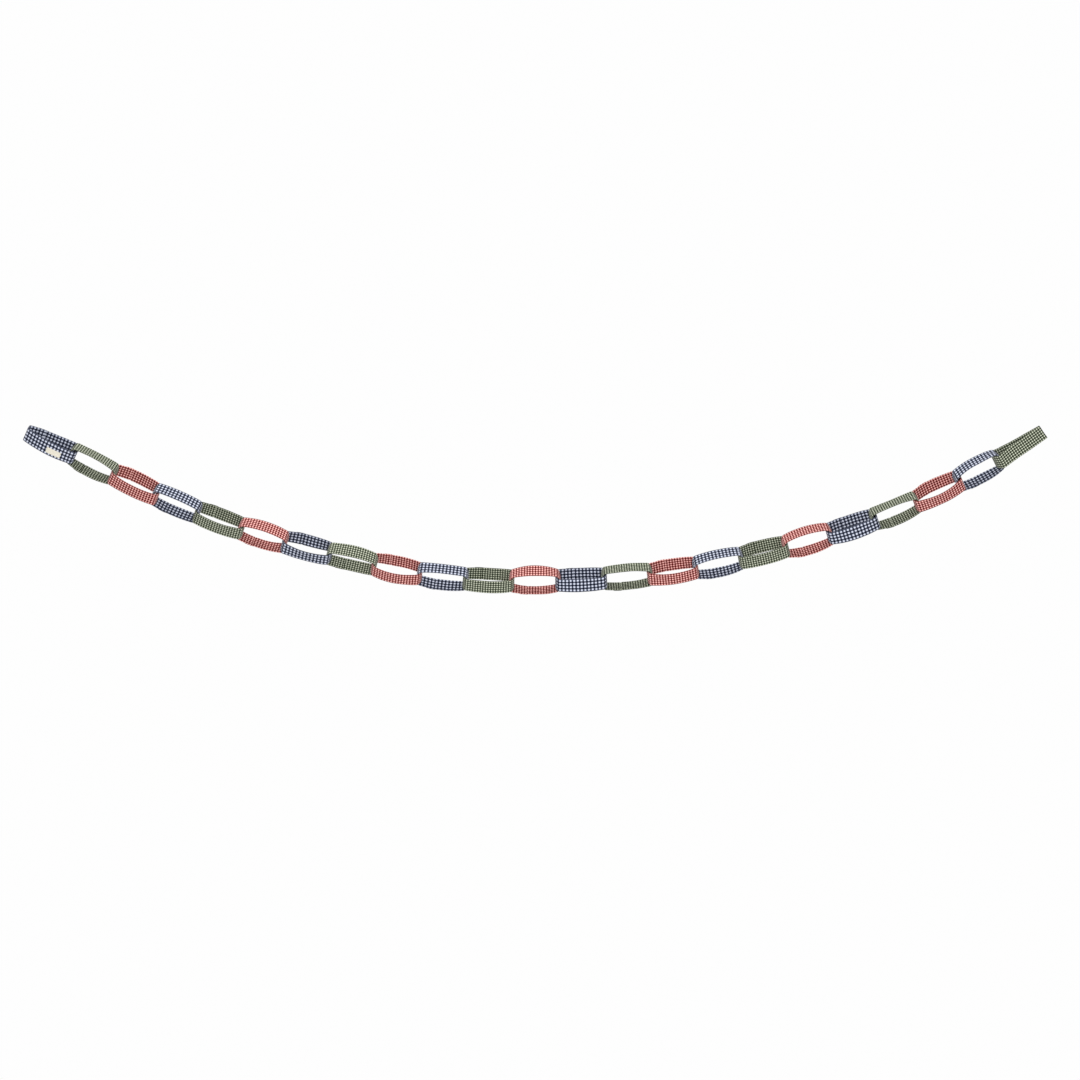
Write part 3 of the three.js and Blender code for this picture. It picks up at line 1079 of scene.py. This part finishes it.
def stitch_tree() -> bpy.types.NodeTree:
    """Builds the tree that lays stitches along every run of edges.

    Returns:
        A tree that takes the rows' lines, whose points carry a normal, the stitch's pitch and
        sizes, its wander in radians, a seed and the material.
    """
    takes = {
        "Geometry": SocketKind.GEOMETRY,
        "Pitch": SocketKind.FLOAT,
        "Stitch Length": SocketKind.FLOAT,
        "Thread Width": SocketKind.FLOAT,
        "Wander": SocketKind.FLOAT,
        "Seed": SocketKind.INT,
        "Material": SocketKind.MATERIAL,
    }
    group = Group("lay stitches", "GeometryNodeTree", takes, {"Geometry": SocketKind.GEOMETRY})
    curve = group.node("GeometryNodeMeshToCurve", {0: group.takes["Geometry"]}).outputs[0]
    inputs = {"Curve": curve, "Length": group.takes["Pitch"]}
    rows = group.node("GeometryNodeResampleCurve", inputs, mode="LENGTH").outputs[0]
    stitch = group.node("GeometryNodeMeshUVSphere", {"Segments": 6, "Rings": 5, "Radius": 0.5})
    tangent = group.node("GeometryNodeInputTangent").outputs[0]
    named = {"Name": STITCH_NORMAL}
    kind = {"data_type": "FLOAT_VECTOR"}
    normal = group.node("GeometryNodeInputNamedAttribute", named, **kind).outputs["Attribute"]
    kind = "FunctionNodeAlignRotationToVector"
    along = group.node(kind, {"Vector": tangent}, axis="X").outputs[0]
    inputs = {"Rotation": along, "Vector": normal}
    flat = group.node(kind, inputs, axis="Z", pivot_axis="X").outputs[0]

    def spread(low: float, high: float, step: int) -> bpy.types.NodeSocket:
        """A random number for each stitch, from the tree's seed and one more step."""
        seed = group.math("ADD", group.takes["Seed"], float(step))
        random = {"Min": low, "Max": high, "Seed": seed}
        node = group.node("FunctionNodeRandomValue", data_type="FLOAT")
        for socket in node.inputs:
            if socket.enabled and socket.name in random:
                group.feed(socket, random[socket.name])
        return next(socket for socket in node.outputs if socket.enabled)

    swing = group.math("MULTIPLY", spread(-1.0, 1.0, 1), group.takes["Wander"])
    twist = group.node("FunctionNodeEulerToRotation")
    group.feed(twist.inputs[0], group.node("ShaderNodeCombineXYZ", {2: swing}).outputs[0])
    inputs = {"Rotation": flat, "Rotate By": twist.outputs[0]}
    turned = group.node("FunctionNodeRotateRotation", inputs, rotation_space="LOCAL").outputs[0]
    long = group.math("MULTIPLY", group.takes["Stitch Length"], spread(0.9, 1.06, 2))
    width = group.takes["Thread Width"]
    size = group.node("ShaderNodeCombineXYZ", {0: long, 1: width, 2: width}).outputs[0]
    laid = {"Points": rows, "Instance": stitch.outputs["Mesh"], "Rotation": turned, "Scale": size}
    shape = group.node("GeometryNodeInstanceOnPoints", laid).outputs[0]
    shape = group.node("GeometryNodeRealizeInstances", {0: shape}).outputs[0]
    shape = group.node("GeometryNodeSetShadeSmooth", {0: shape, "Shade Smooth": True}).outputs[0]
    dressed = {"Geometry": shape, "Material": group.takes["Material"]}
    group.feed(group.gives["Geometry"], group.node("GeometryNodeSetMaterial", dressed).outputs[0])
    return group.tree


@dataclass(frozen=True)
class Sewing:
    """Rows of machine stitches, all of one length, laid by one tree."""

    tree: bpy.types.NodeTree
    pitch: float = 2.9 * MM
    stitch: float = 2.35 * MM
    thread: float = 0.34 * MM
    wander: float = 0.05

    def sew(self, name: str, rows: list[list[tuple[Array, Array]]], seed: int, thread: object) -> object:
        """Sews rows of stitches.

        Args:
            name: The new piece's name.
            rows: Each row's points, with the normal of the cloth at each.
            seed: The seed for the stitches' small differences.
            thread: The thread's material.

        Returns:
            The stitches as one plain mesh object.
        """
        points, normals, edges = [], [], []
        for row in rows:
            start = len(points)
            points += [tuple(point) for point, _ in row]
            normals += [normal for _, normal in row]
            edges += [(i, i + 1) for i in range(start, start + len(row) - 1)]
        holder = line_object("stitch_rows", points, edges, {STITCH_NORMAL: np.array(normals)})
        values = {
            "Pitch": self.pitch,
            "Stitch Length": self.stitch,
            "Thread Width": self.thread,
            "Wander": self.wander,
            "Seed": seed,
            "Material": thread,
        }
        return made_plain(holder, self.tree, name, values)


# ---------------------------------------------------------------- the garland's own pieces


HALF_COLUMNS = (2.5, 5.0, 6.6, 7.6, 8.8, 10.0, 10.6, 11.2, 11.8, 12.25)
STRIP_COLUMNS = tuple(c * MM for c in [-c for c in HALF_COLUMNS[::-1]] + [0.0, *HALF_COLUMNS])


@dataclass(frozen=True)
class StripLoop:
    """One loop: a flat sewn strip, bent round and sewn to itself where its ends overlap."""

    index: int
    chain: ChainCurve
    thickness: float = 1.5 * MM
    inset: float = 1.3 * MM
    lap_from: float = 4 / 6
    lap_to: float = 5 / 6
    climb: float = 4 * MM
    lap_gap: float = 0.05 * MM
    lap_press: float = 0.64
    spacing: float = 1.7 * MM
    end_round: float = 0.7 * MM
    held_from: tuple[float, float] = (24 * MM, 35 * MM)
    row_end: float = 1.5 * MM
    lap_row: float = 1.8 * MM
    row_step: float = 1.2 * MM

    @property
    def cloth(self) -> Cloth:
        """The gingham that this loop is sewn from."""
        return list(Cloth)[self.index % len(Cloth)]

    @property
    def number(self) -> str:
        """The loop's number along the chain, from 01."""
        return f"{self.index + 1:02d}"

    @property
    def node(self) -> str:
        """The name of the loop's node in the frame."""
        return f"link_{self.number}_{self.cloth.word}"

    @property
    def section(self) -> Section:
        """The cut across the strip."""
        return Section(
            self.chain.strip_width,
            self.thickness,
            STRIP_COLUMNS,
            hollow=0.2,
            hem=6.5 * MM,
            sewn=0.34,
            inset=self.inset,
            groove=0.3 * MM,
        )

    def path(self) -> SweepPath:
        """The strip's line, from the lap's inner end round the loop to its outer end.

        Returns:
            The path, one row for each sampled point.
        """
        outline = self.chain.shape.stretches(self.index)
        far = outline[3]
        laid = [far.part(self.lap_from, 1.0), *outline[4:], *outline[:3], far.part(0.0, self.lap_from)]
        laid.append(far.part(self.lap_from, self.lap_to))
        points, normals, runs, start = [], [], [], 0.0
        for number, stretch in enumerate(laid):
            length = stretch.length(self.thickness / 2)
            bend = isinstance(stretch, Arc) and stretch.radius <= self.chain.shape.corner_radius
            steps = max(7 if bend else 3, math.ceil(length / self.spacing))
            shares = np.arange(steps + (number == len(laid) - 1)) / steps
            point, normal = stretch.sample(shares)
            points.append(point)
            normals.append(normal)
            runs.append(start + shares * length)
            start += length
        lap = start - laid[-1].length(self.thickness / 2)
        run = np.concatenate(runs)
        point, normal = np.concatenate(points), np.concatenate(normals)
        place, across, outward = self.chain.lay(self.index, point, normal)
        outer = smoothstep(lap - self.climb, lap, run)
        lift = outer * (self.thickness * self.lap_press + self.lap_gap)
        free = 1 - smoothstep(*self.held_from, np.abs(point[:, 0]))
        inner = 1 - smoothstep(self.lap_length, self.lap_length + self.climb, run)
        plump = 1 - (1 - self.lap_press) * np.maximum(outer, inner)
        path = SweepPath(place, across, outward, run, lift, plump, free)
        return self.rounded_ends(path)

    def rounded_ends(self, path: SweepPath) -> SweepPath:
        """Adds rows that round the strip's two ends and close them.

        Args:
            path: The strip's line without its rounded ends.

        Returns:
            The line with the extra rows.
        """
        angles = np.linspace(0, math.pi / 2, 5)
        depth = self.end_round * (1 - np.cos(angles[:-1]))
        plump = np.sin(angles[:-1])
        first, last = path.run[0], path.run[-1]
        inner = path.run[(path.run > first + self.end_round) & (path.run < last - self.end_round)]
        whole = [[first + self.end_round], inner, [last - self.end_round]]
        run = np.concatenate([first + depth, *whole, last - depth[::-1]])

        def column(values: Array) -> Array:
            """A column of the path, read at the new rows."""
            if values.ndim == 1:
                return np.interp(run, path.run, values)
            return np.stack([np.interp(run, path.run, part) for part in values.T], axis=1)

        full = np.ones(len(run) - 2 * len(plump))
        share = np.concatenate([plump, full, plump[::-1]]) * column(path.plump)
        vectors = [column(path.place), column(path.across), column(path.outward)]
        return SweepPath(*vectors, run, column(path.lift), share, column(path.free))

    def stitch_rows(self, path: SweepPath) -> list[list[tuple[Array, Array]]]:
        """The rows of stitches: along both edges on both faces, and round the lap.

        Args:
            path: The strip's line.

        Returns:
            Each row's points, with the normal of the cloth at each.
        """
        edge = self.chain.strip_width / 2 - self.inset
        section = self.section
        half = float(section.half_thickness(np.array([edge]))[0]) + 0.06 * MM
        middle = self.thickness / 2
        first, last = path.run[0] + self.row_end, path.run[-1] - self.row_end
        lap_start = path.run[-1] - self.lap_length
        lap_end = path.run[0] + self.lap_length
        rows = []
        for face, start, end in ((1, lap_end, last), (-1, first, lap_start)):
            runs = np.arange(start, end, self.row_step)
            for side in (-1, 1):
                row = [path.at(run, side * edge, middle + face * half) for run in runs]
                rows.append([(point, face * normal) for point, normal in row])
        for run in (lap_start + self.lap_row, path.run[-1] - self.lap_row):
            width = np.arange(-edge + self.row_step, edge - self.row_step / 2, self.row_step)
            heights = middle + section.half_thickness(width) * self.lap_press + 0.05 * MM
            rows.append([path.at(run, across, height) for across, height in zip(width, heights)])
        return rows

    @property
    def lap_length(self) -> float:
        """The length over which the strip's two ends lie on each other."""
        far = self.chain.shape.stretches(self.index)[3]
        return far.part(self.lap_from, self.lap_to).length(self.thickness / 2)


@dataclass(frozen=True)
class BlankLabel:
    """The bare label sewn to the near side of the left end loop."""

    chain: ChainCurve
    strip_thickness: float = 1.5 * MM
    length: float = 27 * MM
    height: float = 10.5 * MM
    thickness: float = 0.6 * MM
    along: float = 11 * MM
    drop: float = 3.5 * MM
    sunk: float = 0.06 * MM
    end_round: float = 0.3 * MM
    sewn_at: float = 1.3 * MM
    sewn_reach: float = 0.9 * MM
    sewn_depth: float = 0.15 * MM
    stitch_lift: float = 0.04 * MM
    stitch_span: tuple[float, float, float] = (-4.0, 4.4, 0.8)
    samples: int = 41
    column_count: int = 13
    node: str = "blank_label"

    @property
    def section(self) -> Section:
        """The cut across the label."""
        columns = tuple(np.linspace(-1, 1, self.column_count) * (self.height - self.thickness) / 2)
        return Section(self.height, self.thickness, columns)

    def path(self) -> SweepPath:
        """The label's line, from its left end to its right end.

        Returns:
            The path, one row for each sampled point.
        """
        side = self.chain.shape.stretches(0)[7]
        radius = side.radius + self.strip_thickness
        ends = [self.along - self.length / 2, self.along + self.length / 2]
        eased = (1 - np.cos(np.linspace(0, math.pi, self.samples))) / 2
        x = ends[0] + (ends[1] - ends[0]) * eased
        y = side.y - np.sqrt(radius**2 - (x - side.x) ** 2)
        point = np.stack([x, y], axis=1)
        normal = (point - np.array([side.x, side.y])) / radius
        place, across, outward = self.chain.lay(0, point, normal)
        place = place - self.drop * across
        run = x - ends[0]
        from_end = np.minimum(run, self.length - run)
        plump = np.sqrt(np.clip(1 - (1 - np.clip(from_end / self.end_round, 0, 1)) ** 2, 0, 1))
        sewn = np.exp(-(((from_end - self.sewn_at) / self.sewn_reach) ** 2)) * self.sewn_depth
        return SweepPath(place, across, outward, run, -self.sunk - sewn, plump, np.ones_like(run))

    def stitch_rows(self, path: SweepPath) -> list[list[tuple[Array, Array]]]:
        """The two short rows of stitches, one near each end of the label."""
        across = np.arange(*self.stitch_span) * MM
        lift = self.thickness + self.stitch_lift
        rows = []
        for run in (self.sewn_at, self.length - self.sewn_at):
            rows.append([path.at(run, place, lift) for place in across])
        return rows


class Garland:
    """The whole garland: 23 loops and the label, each dressed and tied to the frame."""

    ripple = 1.1 * MM
    ripple_scale = 26.0
    edge_wander = 0.02

    def __init__(self) -> None:
        """Builds the shared trees and materials."""
        self.chain = ChainCurve()
        self.sweep = sweep_tree()
        self.sewing = Sewing(stitch_tree())
        effects = Effects()
        self.cloths = {cloth: cloth.value.build(effects) for cloth in Cloth}
        self.threads = {
            cloth: ThreadFinish(f"{cloth.word}_thread", cloth.value.thread).build(effects)
            for cloth in Cloth
        }
        self.tape = LABEL_TAPE.build(effects)
        self.tape_thread = LABEL_THREAD.build(effects)
        self.random = np.random.default_rng(23)

    def swept(self, name: str, path: SweepPath, section: Section, phases: Array, material: object) -> object:
        """Sweeps one piece of cloth.

        Args:
            name: The new piece's name.
            path: The line to sweep along.
            section: The cut to sweep.
            phases: Where the cloth's check starts, along and across.
            material: The cloth's material.

        Returns:
            The piece as a plain mesh object.
        """
        cut = section.object()
        values = {
            "Section": cut,
            "Half Thickness": section.thickness / 2,
            "Ripple": self.ripple,
            "Ripple Scale": self.ripple_scale,
            "Edge Wander": self.edge_wander,
            "Seed": 4.0,
            "Phase Along": float(phases[0]),
            "Phase Across": float(phases[1]),
            "Material": material,
        }
        piece = made_plain(path.object(), self.sweep, name, values)
        bpy.data.objects.remove(cut)
        return piece

    def add(self, piece: bpy.types.Object, slot: str) -> None:
        """Ties a finished piece to the frame's body, and reports it with the name of its material slot."""
        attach(piece, BODY)
        faces = sum(len(polygon.vertices) - 2 for polygon in piece.data.polygons)
        LOG.info("%s: %d triangles, slot %s", piece.name, faces, slot)

    def build_loop(self, loop: StripLoop) -> bpy.types.Object:
        """Builds one loop and its stitches.

        Args:
            loop: The loop to build.

        Returns:
            The loop's strip.
        """
        path = loop.path()
        cloth = loop.cloth.value
        phases = self.random.uniform((0.0, -0.4 * MM), (cloth.repeat, 0.4 * MM))
        phases[1] += cloth.centre * cloth.repeat
        material = self.cloths[loop.cloth]
        strip = self.swept(f"strip_{loop.number}_{loop.cloth.word}", path, loop.section, phases, material)
        thread = self.threads[loop.cloth]
        name = f"stitching_{loop.number}"
        stitches = self.sewing.sew(name, loop.stitch_rows(path), loop.index, thread)
        self.add(strip, loop.cloth.slot)
        self.add(stitches, loop.cloth.slot)
        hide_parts(loop.node)
        self.compare(strip, loop.node)
        return strip

    def build_label(self) -> None:
        """Builds the label and its stitches on the left end loop's strip."""
        label = BlankLabel(self.chain)
        path = label.path()
        piece = self.swept("plain_label", path, label.section, np.zeros(2), self.tape)
        rows = label.stitch_rows(path)
        stitches = self.sewing.sew("label_stitching", rows, LAST + 1, self.tape_thread)
        self.add(piece, LABEL_SLOT)
        self.add(stitches, LABEL_SLOT)
        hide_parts(label.node)
        self.compare(piece, label.node)

    @staticmethod
    def compare(piece: bpy.types.Object, node: str) -> None:
        """Reports how far a piece's box is from its node's box in the frame."""
        points = np.array([vertex.co for vertex in piece.data.vertices])
        low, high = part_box(node)
        gaps = [abs(points.min(0) - np.array(low)).max(), abs(points.max(0) - np.array(high)).max()]
        LOG.info("%s stands for %s, within %.2f mm of its box", piece.name, node, max(gaps) / MM)

    def build(self) -> None:
        """Builds every loop in its order along the chain, then the label."""
        strips = [self.build_loop(StripLoop(index, self.chain)) for index in range(len(LAYS))]
        self.build_label()


@dataclass(frozen=True)
class Lamp:
    """A square soft light, placed from the middle of the garland, which it faces."""

    name: str
    offset: tuple[float, float, float]
    size: float
    power: float

    def add(self, middle: Vector) -> None:
        """Adds the light to the scene."""
        light = bpy.data.lights.new(self.name, "AREA")
        light.shape = "SQUARE"
        light.size = self.size
        light.energy = self.power
        lamp = added(self.name, light)
        lamp.location = middle + Vector(self.offset)
        lamp.rotation_euler = (lamp.location - middle).to_track_quat("Z", "Y").to_euler()


LAMPS = (
    Lamp("key_light", (-0.5, -1.3, 2.8), 2.4, 50.0),
    Lamp("front_light", (0.3, -4.0, 0.1), 3.0, 104.0),
    Lamp("back_light", (-0.3, 4.0, 0.4), 3.0, 40.0),
)


@dataclass(frozen=True)
class Studio:
    """A pale floor well below the garland, soft light from above and a level long-lens camera."""

    view_width: float = 1.9116
    aim_right: float = 0.0093
    aim_down: float = 0.053
    distance: float = 9.0
    sensor: float = 36.0
    floor_drop: float = 1.2
    floor_half: float = 1.4
    floor_tone: float = 0.86
    white: float = 0.99
    ambient: float = 0.66

    def build(self) -> None:
        """Builds the camera, the light and the floor around the frame's box."""
        low, high = CAD_BOX
        middle = (low + high) / 2
        self.add_camera(middle + Vector((self.aim_right, 0.0, -self.aim_down)))
        self.add_world()
        for lamp in LAMPS:
            lamp.add(middle)
        self.add_floor(middle, low.z - self.floor_drop)
        bpy.context.scene.view_settings.view_transform = "Standard"

    def add_camera(self, aim: Vector) -> None:
        """Adds the camera, level and square to the span, looking at a point."""
        lens = bpy.data.cameras.new("camera")
        lens.sensor_width = self.sensor
        lens.lens = self.sensor * self.distance / self.view_width
        camera = added("camera", lens)
        camera.location = aim + Vector((0.0, -self.distance, 0.0))
        camera.rotation_euler = (math.pi / 2, 0.0, 0.0)
        bpy.context.scene.camera = camera

    def add_world(self) -> None:
        """Adds an even surround: white to look at, and a little dimmer as a light."""
        world = bpy.data.worlds.new("studio")
        world.use_nodes = True
        world.node_tree.nodes.clear()
        graph = Graph(world.node_tree)
        white = {"Color": (self.white, self.white, self.white, 1.0)}
        seen = graph.node("ShaderNodeBackground", {**white, "Strength": 1.0}).outputs[0]
        light = graph.node("ShaderNodeBackground", {**white, "Strength": self.ambient}).outputs[0]
        looked_at = graph.node("ShaderNodeLightPath").outputs["Is Camera Ray"]
        chosen = graph.node("ShaderNodeMixShader", {0: looked_at, 1: light, 2: seen}).outputs[0]
        graph.node("ShaderNodeOutputWorld", {"Surface": chosen})
        bpy.context.scene.world = world

    def add_floor(self, middle: Vector, level: float) -> None:
        """Adds the floor and marks it as no part of the object."""
        half = self.floor_half
        corners = [(middle.x + i * half, middle.y + j * half, level) for i, j in self.signs()]
        mesh = bpy.data.meshes.new("studio_floor")
        mesh.from_pydata(corners, [], [(0, 1, 2, 3)])
        floor = added("studio_floor", mesh)
        material = bpy.data.materials.new("pale_floor")
        material.use_nodes = True
        shader = material.node_tree.nodes["Principled BSDF"]
        tone = self.floor_tone
        shader.inputs["Base Color"].default_value = (tone, tone, tone, 1.0)
        shader.inputs["Roughness"].default_value = 0.9
        shader.inputs["Specular IOR Level"].default_value = 0.1
        mesh.materials.append(material)
        floor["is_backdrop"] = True

    @staticmethod
    def signs() -> tuple[tuple[int, int], ...]:
        """The signs of a square's corners, anticlockwise seen from above."""
        return (-1, -1), (1, -1), (1, 1), (-1, 1)


def main() -> None:
    """Builds the garland and the studio round it."""
    logging.basicConfig(level=logging.INFO, format="%(name)s: %(message)s")
    Garland().build()
    Studio().build()


if __name__ == "__main__":
    main()
